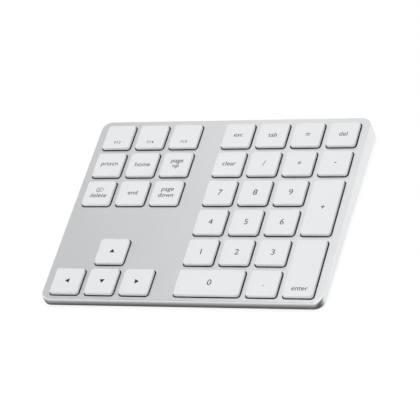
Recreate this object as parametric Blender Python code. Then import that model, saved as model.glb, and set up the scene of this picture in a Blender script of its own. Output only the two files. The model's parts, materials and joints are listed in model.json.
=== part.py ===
"""A wireless numeric keypad: a wedge-shaped aluminium case with 34 scissor keys over a rubber dome sheet.

Run with: blender --background --python part.py
Lengths below are in millimetres and become metres in the meshes. +Z is up, +X is to the typist's right and
+Y is away from the typist. The origin is on the desk, at the middle of the keypad's footprint.
The deck (the top face that holds the keys) rises to the back, so the case, keys and key sheets are modelled
in a deck frame, which an empty tilts into place. The battery and electronics lie level on the bottom cover.
"""

import math

import bmesh
import bpy
from mathutils import Matrix, Vector

MM = 0.001

# Case
CASE_WIDTH = 149.8
CASE_DEPTH = 118.2
CASE_CORNER = 5.0
DECK_TILT = math.radians(2.86)
FRONT_THICKNESS = 4.3
DECK_THICKNESS = 1.2
WALL = 1.5
TOP_ROUND = 0.8
BOTTOM_ROUND = 0.8
FOOT_HEIGHT = 1.0
FOOT_RADIUS = 4.5
FOOT_X = 62.0
FOOT_Y = 48.0
COVER_THICKNESS = 0.8
COVER_GAP = 0.15
SEAT_GAP = 0.05

# Key layout: a cell is one pitch square, and each block counts its columns from the left, rows from the back
PITCH = 19.05
RIGHT_BLOCK_X = 5.17
LEFT_BLOCK_X = RIGHT_BLOCK_X - 67.49
BACK_ROW_Y = 47.2
CAP_SIZE = 15.45
CAP_CORNER = 1.5
CAP_HEIGHT = 1.8
CAP_SKIRT = -0.6
CAP_CEILING = 0.9
CAP_WALL = 1.0
CAP_EDGE = 0.3
HOLE_SIZE = 16.65
HOLE_CORNER = 2.0
KEYS = (
    # name, block, column, row, columns wide, rows deep
    ("f13", "left", 0, 0, 1, 1),
    ("f14", "left", 1, 0, 1, 1),
    ("f15", "left", 2, 0, 1, 1),
    ("prtscn", "left", 0, 1, 1, 1),
    ("home", "left", 1, 1, 1, 1),
    ("page_up", "left", 2, 1, 1, 1),
    ("delete", "left", 0, 2, 1, 1),
    ("end", "left", 1, 2, 1, 1),
    ("page_down", "left", 2, 2, 1, 1),
    ("up", "left", 1, 4, 1, 1),
    ("left", "left", 0, 5, 1, 1),
    ("down", "left", 1, 5, 1, 1),
    ("right", "left", 2, 5, 1, 1),
    ("esc", "right", 0, 0, 1, 1),
    ("tab", "right", 1, 0, 1, 1),
    ("equals", "right", 2, 0, 1, 1),
    ("del", "right", 3, 0, 1, 1),
    ("clear", "right", 0, 1, 1, 1),
    ("divide", "right", 1, 1, 1, 1),
    ("multiply", "right", 2, 1, 1, 1),
    ("minus", "right", 3, 1, 1, 1),
    ("7", "right", 0, 2, 1, 1),
    ("8", "right", 1, 2, 1, 1),
    ("9", "right", 2, 2, 1, 1),
    ("plus", "right", 3, 2, 1, 2),
    ("4", "right", 0, 3, 1, 1),
    ("5", "right", 1, 3, 1, 1),
    ("6", "right", 2, 3, 1, 1),
    ("1", "right", 0, 4, 1, 1),
    ("2", "right", 1, 4, 1, 1),
    ("3", "right", 2, 4, 1, 1),
    ("enter", "right", 3, 4, 1, 2),
    ("0", "right", 0, 5, 2, 1),
    ("decimal", "right", 2, 5, 1, 1),
)

# Sheets under the keys, as heights in the deck frame
PLATE_BOTTOM = -3.4
PLATE_TOP = -3.1
MEMBRANE_BOTTOM = -3.05
MEMBRANE_TOP = -2.85
DOME_SHEET_BOTTOM = -2.8
DOME_SHEET_TOP = -2.6
DOME_TOP = CAP_CEILING - 0.05
SHEET_MARGIN = 8.1
DOME_BASE_RADIUS = 3.2
DOME_SHOULDER_RADIUS = 2.4
DOME_SHOULDER = -0.6
DOME_TOP_RADIUS = 1.4
DOME_WALL = 0.5

# Screws and the bosses they go into
BOSS_X = 72.2
BOSS_Y = 50.0
BOSS_RADIUS = 1.45
BLOCK_GAP_X = (LEFT_BLOCK_X + 2 * PITCH + RIGHT_BLOCK_X) / 2
PLATE_BOSS_Y = 38.0
PLATE_BOSS_RADIUS = 2.2
PLATE_HOLE_RADIUS = 1.0
CLEAR_HOLE_RADIUS = 2.6
SHANK_RADIUS = 0.6
SCREW_HEAD_RADIUS = 1.3
SCREW_HEAD_HEIGHT = 0.5
COVER_SCREW_LENGTH = 2.6
PLATE_SCREW_LENGTH = 2.1
SCREW_GAP = 0.15

# Level parts inside, as heights above the desk
PCB_BOTTOM = 2.4
PCB_THICKNESS = 1.0
PCB_BOX = (-30.0, 20.0, 27.0, 57.0)
POST_RADIUS = 1.5
BATTERY_BOX = (26.0, 68.0, 20.5, 52.0)
BATTERY_BOTTOM = 1.9
BATTERY_THICKNESS = 3.5
TRAY_WALL = 0.8
TRAY_HEIGHT = 1.6
TRAY_GAP = 0.3
PORT_X = BLOCK_GAP_X
PORT_SIZE = (8.94, 7.35, 3.2)
PORT_WALL = 0.3
TONGUE_SIZE = (6.7, 5.0, 0.7)
SWITCH_X = 11.0
SWITCH_SIZE = (8.0, 4.3, 2.8)
SWITCH_TRAVEL = 2.0
KNOB_SIZE = (2.4, 2.75, 1.3)
KNOB_GAP = 0.3
MODULE_BOX = (-27.0, -15.0, 32.0, 41.0)
FLEX_X = (-8.0, 2.0)
FLEX_SLOT_Y = 22.0
FLEX_THICKNESS = 0.2
FLEX_BEND = 1.6
LEAD_RADIUS = 0.6
LEAD_Y = 44.0
BOARD_PARTS = (
    # what: left, right, front, back, height above the board
    ("controller", -12.5, -5.5, 40.5, 47.5, 0.9),
    ("charger", 2.0, 6.0, 44.0, 48.0, 0.8),
    ("crystal", -1.5, 1.5, 48.0, 49.6, 0.7),
    ("flex_connector", FLEX_X[0] - 1.0, FLEX_X[1] + 1.0, 30.0, 34.0, 1.2),
    ("battery_connector", 13.5, 18.0, 38.5, 42.5, 1.6),
)
SUNK = 0.2

# Stabiliser wire of a two-cell cap, in the cap's own frame
STABILISER_RADIUS = 0.4
STABILISER_HEIGHT = 0.3
STABILISER_INSET = 5.5
STABILISER_ARM = 5.4
STABILISER_START = 0.2
STABILISER_HOOK = 1.6
STABILISER_BEND = 0.9

PCB_TOP = PCB_BOTTOM + PCB_THICKNESS
PORT_HEIGHT = PCB_TOP + 0.05
SWITCH_MIDDLE = PORT_HEIGHT + SWITCH_SIZE[2] / 2
CASE_BOTTOM = FOOT_HEIGHT
COVER_TOP = CASE_BOTTOM + COVER_THICKNESS
DECK_CENTRE_Z = CASE_BOTTOM + FRONT_THICKNESS + CASE_DEPTH / 2 * math.sin(DECK_TILT)


def deck_height(y, level):
    """The deck-frame z of the point at deck-frame y that lies `level` above the desk."""
    return (level - DECK_CENTRE_Z - y * math.sin(DECK_TILT)) / math.cos(DECK_TILT)


# the walls are square to the deck, so the back one leans out and moves the middle of the footprint
CASE_BACK_LOW = deck_height(CASE_DEPTH / 2, CASE_BOTTOM + BOTTOM_ROUND)
DECK_CENTRE_Y = (CASE_BACK_LOW - TOP_ROUND) * math.sin(DECK_TILT) / 2


def wall_y(deck_y, level):
    """The world y of a wall square to the deck at deck-frame `deck_y`, at that level above the desk."""
    z = deck_height(deck_y, level)
    return DECK_CENTRE_Y + deck_y * math.cos(DECK_TILT) - z * math.sin(DECK_TILT)


def clear_scene():
    for obj in list(bpy.data.objects):
        bpy.data.objects.remove(obj, do_unlink=True)


def principled(name, colour, roughness, metallic=0.0):
    material = bpy.data.materials.new(name)
    material.use_nodes = True
    shader = material.node_tree.nodes["Principled BSDF"]
    shader.inputs["Base Color"].default_value = (*colour, 1.0)
    shader.inputs["Roughness"].default_value = roughness
    shader.inputs["Metallic"].default_value = metallic
    return material


def make_object(name, bm, material=None, parent=None):
    """Turns bm, in millimetres, into an object in metres, with its normals facing out."""
    bmesh.ops.recalc_face_normals(bm, faces=bm.faces)
    bmesh.ops.scale(bm, verts=bm.verts, vec=(MM, MM, MM))
    mesh = bpy.data.meshes.new(name)
    bm.to_mesh(mesh)
    bm.free()
    obj = bpy.data.objects.new(name, mesh)
    bpy.context.scene.collection.objects.link(obj)
    if material:
        mesh.materials.append(material)
    obj.parent = parent
    return obj


def make_helper(name, bm, parent=None):
    """A cutter, or a shape to be added to another, which isn't a part of its own."""
    helper = make_object(name, bm, parent=parent)
    helper.hide_render = True
    helper.display_type = "WIRE"
    return helper


def combine(obj, helper, operation):
    modifier = obj.modifiers.new(helper.name, "BOOLEAN")
    modifier.operation = operation
    modifier.solver = "EXACT"
    modifier.object = helper


def smooth(obj, degrees=35):
    obj.data.shade_smooth()
    obj.data.set_sharp_from_angle(angle=math.radians(degrees))


def rounded_outline(width, depth, radius, segments, centre=(0.0, 0.0)):
    """The points of a rectangle with round corners, counter-clockwise from above."""
    points = []
    for quarter, (sx, sy) in enumerate(((1, 1), (-1, 1), (-1, -1), (1, -1))):
        for step in range(segments + 1):
            angle = math.radians(90) * (quarter + step / segments)
            x = centre[0] + sx * (width / 2 - radius) + radius * math.cos(angle)
            y = centre[1] + sy * (depth / 2 - radius) + radius * math.sin(angle)
            points.append((x, y))
    return points


def circle_outline(radius, sides, centre=(0.0, 0.0)):
    angles = [2 * math.pi * i / sides for i in range(sides)]
    return [
        (centre[0] + radius * math.cos(a), centre[1] + radius * math.sin(a)) for a in angles
    ]


def level_ring(outline, z):
    return [Vector((x, y, z)) for x, y in outline]


def desk_ring(outline, level):
    """A ring in the deck frame whose points all lie `level` above the desk."""
    return [Vector((x, y, deck_height(y, level))) for x, y in outline]


def loft(bm, rings):
    """Skins a closed solid over rings of equally many points, with a cap at each end."""
    rows = [[bm.verts.new(p) for p in ring] for ring in rings]
    count = len(rows[0])
    for lower, upper in zip(rows, rows[1:]):
        for i in range(count):
            j = (i + 1) % count
            bm.faces.new((lower[i], lower[j], upper[j], upper[i]))
    bm.faces.new(list(reversed(rows[0])))
    bm.faces.new(rows[-1])


def add_prism(bm, outline, bottom, top):
    loft(bm, [level_ring(outline, bottom), level_ring(outline, top)])


def add_turned(bm, profile, sides, centre=(0.0, 0.0)):
    """A turned solid from (radius, z) points that run from one end of the axis to the other."""
    loft(bm, [level_ring(circle_outline(r, sides, centre), z) for r, z in profile])


def add_box(bm, x0, x1, y0, y1, z0, z1):
    outline = [(x0, y0), (x1, y0), (x1, y1), (x0, y1)]
    add_prism(bm, outline, z0, z1)


def key_centre(key):
    """The middle of a key in the deck frame."""
    _, block, column, row, wide, deep = key
    first = LEFT_BLOCK_X if block == "left" else RIGHT_BLOCK_X
    x = first + (column + (wide - 1) / 2) * PITCH
    y = BACK_ROW_Y - (row + (deep - 1) / 2) * PITCH
    return x, y


def key_size(key, single):
    """The width and depth of a key's cap or hole, given that of a one-cell key."""
    return single + (key[4] - 1) * PITCH, single + (key[5] - 1) * PITCH


def sheet_outline():
    """The outline that the backplate, membrane and dome sheet share, round all the keys."""
    right = RIGHT_BLOCK_X + 3 * PITCH + SHEET_MARGIN
    left = LEFT_BLOCK_X - SHEET_MARGIN
    back = BACK_ROW_Y + SHEET_MARGIN
    front = BACK_ROW_Y - 5 * PITCH - SHEET_MARGIN
    centre = ((left + right) / 2, (front + back) / 2)
    return rounded_outline(right - left, back - front, 2.0, 2, centre)


def plate_boss_places():
    return [(BLOCK_GAP_X, y) for y in (-PLATE_BOSS_Y, PLATE_BOSS_Y)]


def cover_boss_places():
    return [(x, y) for y in (-BOSS_Y, BOSS_Y) for x in (-BOSS_X, BOSS_X)]


def case_rings():
    """Rings from the rounded bottom edge up to the rounded edge of the deck."""
    rings = []
    steps = (90, 45, 0)
    for degrees in steps:
        inset = BOTTOM_ROUND * (1 - math.cos(math.radians(degrees)))
        rise = BOTTOM_ROUND * (1 - math.sin(math.radians(degrees)))
        rings.append(desk_ring(case_outline(inset, 5), CASE_BOTTOM + rise))
    for degrees in reversed(steps):
        inset = TOP_ROUND * (1 - math.cos(math.radians(degrees)))
        drop = TOP_ROUND * (1 - math.sin(math.radians(degrees)))
        rings.append(level_ring(case_outline(inset, 5), -drop))
    return rings


def case_outline(inset, segments=4):
    """The case's outline from above, drawn in by `inset` all round."""
    width = CASE_WIDTH - 2 * inset
    depth = CASE_DEPTH - 2 * inset
    return rounded_outline(width, depth, CASE_CORNER - inset, segments)


def hollow_cutter(deck):
    bm = bmesh.new()
    outline = case_outline(WALL)
    loft(bm, [desk_ring(outline, -1.0), level_ring(outline, -DECK_THICKNESS)])
    return make_helper("case_hollow", bm, deck)


def boss_shapes(deck):
    """The four cover bosses and the two plate bosses that hang from the deck."""
    bm = bmesh.new()
    top = -DECK_THICKNESS / 2
    for place in cover_boss_places():
        outline = circle_outline(BOSS_RADIUS, 10, place)
        loft(bm, [desk_ring(outline, COVER_TOP + SEAT_GAP), level_ring(outline, top)])
    for place in plate_boss_places():
        add_prism(bm, circle_outline(PLATE_BOSS_RADIUS, 10, place), PLATE_TOP + SEAT_GAP, top)
    return make_helper("case_bosses", bm, deck)


def cover_screw_base(place):
    """The deck-frame height of the underside of a cover screw's head."""
    return deck_height(place[1], CASE_BOTTOM) + 0.1


def case_cutter(deck):
    """The key holes and the screw bores, as separate solids in one cutter."""
    bm = bmesh.new()
    for key in KEYS:
        width, depth = key_size(key, HOLE_SIZE)
        outline = rounded_outline(width, depth, HOLE_CORNER, 3, key_centre(key))
        add_prism(bm, outline, -DECK_THICKNESS - 0.5, 0.5)
    bore = SHANK_RADIUS + SCREW_GAP
    for place in cover_boss_places():
        tip = cover_screw_base(place) + COVER_SCREW_LENGTH
        add_prism(bm, circle_outline(bore, 8, place), tip - 4.0, tip + 0.2)
    for place in plate_boss_places():
        tip = PLATE_BOTTOM - SCREW_HEAD_HEIGHT + PLATE_SCREW_LENGTH
        add_prism(bm, circle_outline(bore, 8, place), PLATE_BOTTOM, tip + 0.2)
    return make_helper("case_key_holes", bm, deck)


def port_cutter():
    """The level openings in the back wall, for the USB-C socket and for the power switch's knob."""
    bm = bmesh.new()
    width, _, height = PORT_SIZE
    back = CASE_DEPTH / 2
    grow = 2 * KNOB_GAP
    socket = rounded_outline(width + grow, height + grow, height / 2 + 0.15, 3)
    slot = rounded_outline(SWITCH_TRAVEL + KNOB_SIZE[0] + grow, KNOB_SIZE[2] + grow, 0.5, 2)
    openings = (
        (socket, PORT_X, PORT_HEIGHT + height / 2),
        (slot, SWITCH_X, SWITCH_MIDDLE),
    )
    for outline, x, z in openings:
        rings = [[Vector((x + u, y, z + v)) for u, v in outline] for y in (back + 3, back - 3)]
        loft(bm, rings)
    return make_helper("case_back_openings", bm)


def make_top_case(deck):
    bm = bmesh.new()
    loft(bm, case_rings())
    aluminium = principled("satin_aluminium", (0.62, 0.63, 0.64), 0.38, 1.0)
    case = make_object("top_case", bm, aluminium, deck)
    combine(case, hollow_cutter(deck), "DIFFERENCE")
    combine(case, boss_shapes(deck), "UNION")
    combine(case, case_cutter(deck), "DIFFERENCE")
    combine(case, port_cutter(), "DIFFERENCE")
    smooth(case)


def make_keycap(key, plastic, deck):
    """A shallow cap, hollow below, with its origin at the middle of its hole in the deck."""
    width, depth = key_size(key, CAP_SIZE)

    def ring(inset, z):
        radius = max(CAP_CORNER - inset, 0.4)
        return level_ring(rounded_outline(width - 2 * inset, depth - 2 * inset, radius, 2), z)

    bm = bmesh.new()
    loft(
        bm,
        [
            ring(CAP_WALL, CAP_CEILING),
            ring(CAP_WALL, CAP_SKIRT),
            ring(0.0, CAP_SKIRT),
            ring(0.0, CAP_HEIGHT - CAP_EDGE),
            ring(CAP_EDGE, CAP_HEIGHT),
        ],
    )
    cap = make_object("keycap_" + key[0], bm, plastic, deck)
    x, y = key_centre(key)
    cap.location = (x * MM, y * MM, 0.0)
    smooth(cap)


def make_keycaps(deck):
    plastic = principled("white_key_plastic", (0.80, 0.80, 0.81), 0.45)
    for key in KEYS:
        make_keycap(key, plastic, deck)


def make_stabiliser(key, steel, deck):
    """The bent wire that keeps a two-cell cap level, with its arms turned in to the plate's hooks."""
    reach = max(key[4], key[5]) * PITCH / 2 - STABILISER_INSET
    half = [(reach - STABILISER_HOOK, STABILISER_START), (reach, STABILISER_START), (reach, STABILISER_ARM)]
    route = half + [(-x, y) for x, y in reversed(half)]
    points = []
    for i, corner in enumerate(route):
        corner = Vector(corner)
        if i in (0, len(route) - 1):
            points.append(corner)
            continue
        before = (Vector(route[i - 1]) - corner).normalized() * STABILISER_BEND
        after = (Vector(route[i + 1]) - corner).normalized() * STABILISER_BEND
        points += [corner + before, corner + (before + after) * 0.3, corner + after]
    curve = bpy.data.curves.new("stabiliser_wire_" + key[0], "CURVE")
    curve.dimensions = "3D"
    curve.bevel_depth = STABILISER_RADIUS * MM
    curve.bevel_resolution = 1
    curve.use_fill_caps = True
    spline = curve.splines.new("POLY")
    spline.points.add(len(points) - 1)
    for target, point in zip(spline.points, points):
        target.co = (point.x * MM, point.y * MM, 0.0, 1.0)
    curve.materials.append(steel)
    wire = bpy.data.objects.new(curve.name, curve)
    bpy.context.scene.collection.objects.link(wire)
    wire.parent = deck
    x, y = key_centre(key)
    wire.location = (x * MM, y * MM, STABILISER_HEIGHT * MM)
    if key[5] > key[4]:
        wire.rotation_euler.z = math.radians(90)


def make_stabilisers(deck):
    steel = principled("spring_steel", (0.50, 0.50, 0.52), 0.30, 1.0)
    for key in KEYS:
        if key[4] * key[5] > 1:
            make_stabiliser(key, steel, deck)


def make_backplate(deck):
    """The steel plate under the keys, with a slot that the membrane's tail goes through."""
    bm = bmesh.new()
    add_prism(bm, sheet_outline(), PLATE_BOTTOM, PLATE_TOP)
    steel = principled("plate_steel", (0.45, 0.46, 0.47), 0.40, 1.0)
    plate = make_object("key_backplate", bm, steel, deck)
    bm = bmesh.new()
    for place in plate_boss_places():
        add_prism(bm, circle_outline(PLATE_HOLE_RADIUS, 10, place), PLATE_BOTTOM - 0.5, PLATE_TOP + 0.5)
    slot = (FLEX_X[0] - 0.5, FLEX_X[1] + 0.5, FLEX_SLOT_Y - 1.5, FLEX_SLOT_Y + 1.0)
    add_box(bm, *slot, PLATE_BOTTOM - 0.5, PLATE_TOP + 0.5)
    combine(plate, make_helper("plate_holes", bm, deck), "DIFFERENCE")


def sheet_hole_cutter(name, deck):
    """Clearance round the plate bosses, through both plastic sheets."""
    bm = bmesh.new()
    for place in plate_boss_places():
        outline = circle_outline(CLEAR_HOLE_RADIUS, 10, place)
        add_prism(bm, outline, MEMBRANE_BOTTOM - 0.5, DOME_SHEET_TOP + 0.5)
    return make_helper(name, bm, deck)


def make_membrane(deck):
    bm = bmesh.new()
    add_prism(bm, sheet_outline(), MEMBRANE_BOTTOM, MEMBRANE_TOP)
    polyester = principled("membrane_polyester", (0.70, 0.74, 0.72), 0.35)
    sheet = make_object("membrane_circuit", bm, polyester, deck)
    combine(sheet, sheet_hole_cutter("membrane_holes", deck), "DIFFERENCE")


def make_dome_sheet(deck):
    """The rubber sheet with one hollow dome under each key, open below."""
    bm = bmesh.new()
    add_prism(bm, sheet_outline(), DOME_SHEET_BOTTOM, DOME_SHEET_TOP)
    rubber = principled("dome_rubber", (0.09, 0.09, 0.095), 0.60)
    sheet = make_object("rubber_dome_sheet", bm, rubber, deck)
    domes = bmesh.new()
    hollows = bmesh.new()
    for key in KEYS:
        centre = key_centre(key)
        outside = (
            (DOME_BASE_RADIUS, (DOME_SHEET_BOTTOM + DOME_SHEET_TOP) / 2),
            (DOME_SHOULDER_RADIUS, DOME_SHOULDER),
            (DOME_TOP_RADIUS, DOME_TOP),
        )
        inside = (
            (DOME_BASE_RADIUS - DOME_WALL, DOME_SHEET_BOTTOM - 0.5),
            (DOME_SHOULDER_RADIUS - DOME_WALL, DOME_SHOULDER - DOME_WALL),
        )
        add_turned(domes, outside, 8, centre)
        add_turned(hollows, inside, 8, centre)
    combine(sheet, make_helper("dome_shapes", domes, deck), "UNION")
    combine(sheet, make_helper("dome_hollows", hollows, deck), "DIFFERENCE")
    combine(sheet, sheet_hole_cutter("dome_sheet_holes", deck), "DIFFERENCE")


def tray_box(bm, grow, bottom, top):
    x0, x1, y0, y1 = BATTERY_BOX
    add_box(bm, x0 - grow, x1 + grow, y0 - grow, y1 + grow, bottom, top)


def cover_ribs_and_posts():
    """The battery's tray, still solid, and the four posts that the board stands on."""
    bm = bmesh.new()
    tray_box(bm, TRAY_GAP + TRAY_WALL, COVER_TOP - 0.3, COVER_TOP + TRAY_HEIGHT)
    x0, x1, y0, y1 = PCB_BOX
    for x in (x0 + 3, x1 - 3):
        for y in (y0 + 3, y1 - 9):
            outline = circle_outline(POST_RADIUS, 10, (x, y))
            add_prism(bm, outline, COVER_TOP - 0.3, PCB_BOTTOM - SEAT_GAP)
    return make_helper("cover_ribs_and_posts", bm)


def cover_tray_room():
    bm = bmesh.new()
    tray_box(bm, TRAY_GAP, COVER_TOP, COVER_TOP + TRAY_HEIGHT + 1)
    return make_helper("cover_tray_room", bm)


def cover_screw_holes(deck):
    """Countersunk holes that fit the cover screws with a gap all round."""
    bm = bmesh.new()
    for place in cover_boss_places():
        base = cover_screw_base(place)
        profile = [(r + SCREW_GAP, z + base) for r, z in countersunk_profile()]
        profile[0] = (profile[0][0], base - 1.0)
        profile.insert(1, (profile[0][0], base))
        profile[-1] = (profile[-1][0], base + 2.0)
        add_turned(bm, profile, 10, place)
    return make_helper("cover_screw_holes", bm, deck)


def make_bottom_cover(deck):
    """The plate that closes the case from below, with the battery's tray and the board's posts inside."""
    bm = bmesh.new()
    outline = case_outline(WALL + COVER_GAP)
    loft(bm, [desk_ring(outline, CASE_BOTTOM), desk_ring(outline, COVER_TOP)])
    plastic = principled("cover_plastic", (0.62, 0.62, 0.63), 0.50)
    cover = make_object("bottom_cover", bm, plastic, deck)
    combine(cover, cover_ribs_and_posts(), "UNION")
    combine(cover, cover_tray_room(), "DIFFERENCE")
    combine(cover, cover_screw_holes(deck), "DIFFERENCE")


def countersunk_profile():
    """(radius, height above the head's flat face) of a cover screw."""
    return (
        (SCREW_HEAD_RADIUS, 0.0),
        (SHANK_RADIUS, SCREW_HEAD_HEIGHT),
        (SHANK_RADIUS, COVER_SCREW_LENGTH),
    )


def pan_head_profile():
    """(radius, height above the head's top) of a screw that holds the backplate."""
    return (
        (SCREW_HEAD_RADIUS * 0.8, 0.0),
        (SCREW_HEAD_RADIUS, 0.2),
        (SCREW_HEAD_RADIUS, SCREW_HEAD_HEIGHT - SEAT_GAP),
        (SHANK_RADIUS, SCREW_HEAD_HEIGHT - SEAT_GAP),
        (SHANK_RADIUS, PLATE_SCREW_LENGTH),
    )


def make_screws(deck):
    steel = principled("screw_steel", (0.40, 0.40, 0.42), 0.35, 1.0)
    places = dict(zip(("front_left", "front_right", "back_left", "back_right"), cover_boss_places()))
    for name, place in places.items():
        bm = bmesh.new()
        add_turned(bm, countersunk_profile(), 10)
        screw = make_object("cover_screw_" + name, bm, steel, deck)
        screw.location = (place[0] * MM, place[1] * MM, cover_screw_base(place) * MM)
    places = dict(zip(("front", "back"), plate_boss_places()))
    for name, place in places.items():
        bm = bmesh.new()
        add_turned(bm, pan_head_profile(), 10)
        screw = make_object("plate_screw_" + name, bm, steel, deck)
        base = PLATE_BOTTOM - SCREW_HEAD_HEIGHT
        screw.location = (place[0] * MM, place[1] * MM, base * MM)


def make_feet():
    rubber = principled("foot_rubber", (0.10, 0.10, 0.11), 0.75)
    sides = {"left": -1, "right": 1}
    ends = {"front": -1, "back": 1}
    for end, sy in ends.items():
        for side, sx in sides.items():
            bm = bmesh.new()
            profile = (
                (FOOT_RADIUS - 0.3, 0.0),
                (FOOT_RADIUS, 0.3),
                (FOOT_RADIUS, FOOT_HEIGHT - SEAT_GAP),
            )
            add_turned(bm, profile, 16)
            foot = make_object(f"rubber_foot_{end}_{side}", bm, rubber)
            foot.location = (sx * FOOT_X * MM, sy * FOOT_Y * MM, 0.0)
            smooth(foot)


def add_boards_parts(bm):
    """The chips and the two connectors on the board, each sunk a little into it to be one solid."""
    for _, x0, x1, y0, y1, height in BOARD_PARTS:
        add_box(bm, x0, x1, y0, y1, PCB_TOP - SUNK, PCB_TOP + height)


def make_board():
    """The main board, with its flex connector at the front and the battery's connector at the right."""
    bm = bmesh.new()
    x0, x1, y0, y1 = PCB_BOX
    add_box(bm, x0, x1, y0, y1, PCB_BOTTOM, PCB_TOP)
    green = principled("board_green", (0.04, 0.20, 0.10), 0.45)
    board = make_object("main_pcb", bm, green)
    parts = bmesh.new()
    add_boards_parts(parts)
    combine(board, make_helper("board_parts", parts), "UNION")


def make_wireless_module():
    """The radio module, which stands on the main board under its own shield can."""
    bm = bmesh.new()
    x0, x1, y0, y1 = MODULE_BOX
    low = PCB_TOP + SEAT_GAP
    add_box(bm, x0, x1, y0, y1, low, low + 0.6)
    can = principled("shield_can", (0.55, 0.56, 0.57), 0.30, 1.0)
    module = make_object("wireless_module", bm, can)
    shield = bmesh.new()
    add_box(shield, x0 + 0.8, x1 - 3.2, y0 + 0.8, y1 - 0.8, low + 0.4, low + 1.8)
    combine(module, make_helper("module_shield", shield), "UNION")


def make_battery():
    bm = bmesh.new()
    x0, x1, y0, y1 = BATTERY_BOX
    outline = rounded_outline(x1 - x0, y1 - y0, 1.5, 2, ((x0 + x1) / 2, (y0 + y1) / 2))
    add_prism(bm, outline, BATTERY_BOTTOM, BATTERY_BOTTOM + BATTERY_THICKNESS)
    foil = principled("battery_pouch", (0.55, 0.56, 0.58), 0.35, 0.6)
    make_object("battery", bm, foil)


def battery_lead_route():
    """The way of the battery's lead, from the pouch over the tray's wall to the board's connector."""
    _, _, plug_right, plug_front, plug_back, plug_height = BOARD_PARTS[-1]
    plug_y = (plug_front + plug_back) / 2
    z = PCB_TOP + plug_height - LEAD_RADIUS - 0.1
    start = BATTERY_BOX[0] - TRAY_GAP
    end = plug_right + TRAY_GAP
    return [(start, LEAD_Y, z), (start - 1.6, LEAD_Y, z), (end + 2.4, plug_y + 0.7, z), (end, plug_y, z)]


def make_battery_lead():
    p0, p1, p2, p3 = (Vector(p) * MM for p in battery_lead_route())
    curve = bpy.data.curves.new("battery_lead", "CURVE")
    curve.dimensions = "3D"
    curve.bevel_depth = LEAD_RADIUS * MM
    curve.bevel_resolution = 2
    curve.use_fill_caps = True
    steps = 10
    spline = curve.splines.new("POLY")
    spline.points.add(steps)
    for i in range(steps + 1):
        t = i / steps
        point = p0 * (1 - t) ** 3 + p1 * 3 * t * (1 - t) ** 2 + p2 * 3 * t * t * (1 - t) + p3 * t**3
        spline.points[i].co = (*point, 1.0)
    curve.materials.append(principled("lead_sleeve", (0.35, 0.03, 0.03), 0.50))
    lead = bpy.data.objects.new("battery_lead", curve)
    bpy.context.scene.collection.objects.link(lead)


def make_flex_cable():
    """The membrane's tail: from the plate's slot it bends down and back into the board's connector."""
    top = DECK_CENTRE_Z + FLEX_SLOT_Y * math.sin(DECK_TILT) + PLATE_TOP - 0.05
    mouth = PCB_TOP + 0.7
    bend = FLEX_BEND
    connector_front = BOARD_PARTS[-2][3]
    line = [(FLEX_SLOT_Y, top)]
    for step in range(5):
        angle = math.radians(180 + 22.5 * step)
        line.append((FLEX_SLOT_Y + bend + bend * math.cos(angle), mouth + bend + bend * math.sin(angle)))
    line.append((connector_front - TRAY_GAP, mouth))
    half = FLEX_THICKNESS / 2
    above, below = [], []
    for i, point in enumerate(line):
        ahead = Vector(line[min(i + 1, len(line) - 1)]) - Vector(line[max(i - 1, 0)])
        normal = Vector((-ahead.y, ahead.x)).normalized() * half
        above.append(Vector(point) + normal)
        below.append(Vector(point) - normal)
    section = above + below[::-1]
    bm = bmesh.new()
    loft(bm, [[Vector((x, p.x, p.y)) for p in section] for x in (FLEX_X[1], FLEX_X[0])])
    film = principled("flex_film", (0.55, 0.38, 0.12), 0.40)
    make_object("flex_cable", bm, film)


def make_usb_port():
    """A USB-C socket: a thin steel shell, open to the back, with its contact tongue inside."""
    width, depth, height = PORT_SIZE
    middle = PORT_HEIGHT + height / 2
    mouth = wall_y(CASE_DEPTH / 2, middle) - 0.2
    outside = rounded_outline(width, height, height / 2 - 0.02, 4)
    inside = rounded_outline(
        width - 2 * PORT_WALL, height - 2 * PORT_WALL, height / 2 - PORT_WALL - 0.02, 4
    )

    def ring(outline, y):
        return [Vector((PORT_X + u, y, middle + v)) for u, v in outline]

    bm = bmesh.new()
    loft(bm, [ring(outside, mouth), ring(outside, mouth - depth)])
    shell = principled("port_shell", (0.60, 0.60, 0.60), 0.25, 1.0)
    port = make_object("usb_c_port", bm, shell)
    hollow = bmesh.new()
    loft(hollow, [ring(inside, mouth + 1.0), ring(inside, mouth - depth + 1.2)])
    combine(port, make_helper("port_hollow", hollow), "DIFFERENCE")
    tongue = bmesh.new()
    tongue_width, length, thickness = TONGUE_SIZE
    back = mouth - depth + 1.0
    add_box(
        tongue,
        PORT_X - tongue_width / 2,
        PORT_X + tongue_width / 2,
        back,
        back + length,
        middle - thickness / 2,
        middle + thickness / 2,
    )
    combine(port, make_helper("port_tongue", tongue), "UNION")


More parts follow.
